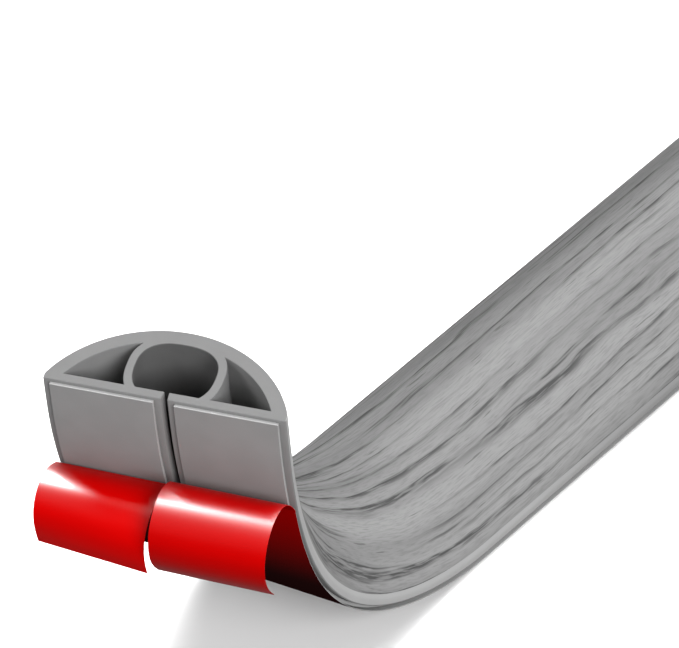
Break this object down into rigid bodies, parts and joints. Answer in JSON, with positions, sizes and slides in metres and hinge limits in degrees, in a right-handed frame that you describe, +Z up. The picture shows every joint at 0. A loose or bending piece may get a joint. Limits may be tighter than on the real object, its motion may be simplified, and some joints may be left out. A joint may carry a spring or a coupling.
{
  "type": "floor cord cover",
  "caption": "Domed soft floor cord cover with a slit cord channel, foam adhesive strips and peeling release films underneath, one end turned up.",
  "frame": {"origin": "middle of the footprint, on the floor", "axes": "+Y along the straight run, away from the upturned end; +X to the right when looking along +Y; +Z up"},
  "size_m": [0.0874, 0.9528, 0.1295],
  "materials": {
    "profile_plastic": "satin",
    "strip_foam": "matte",
    "film_red": "gloss"
  },
  "bodies": {
    "root": {"cover_profile": "profile_plastic", "adhesive_strip_left": "strip_foam", "adhesive_strip_right": "strip_foam", "release_film_left": "film_red", "release_film_right": "film_red"}
  },
  "joints": []
}
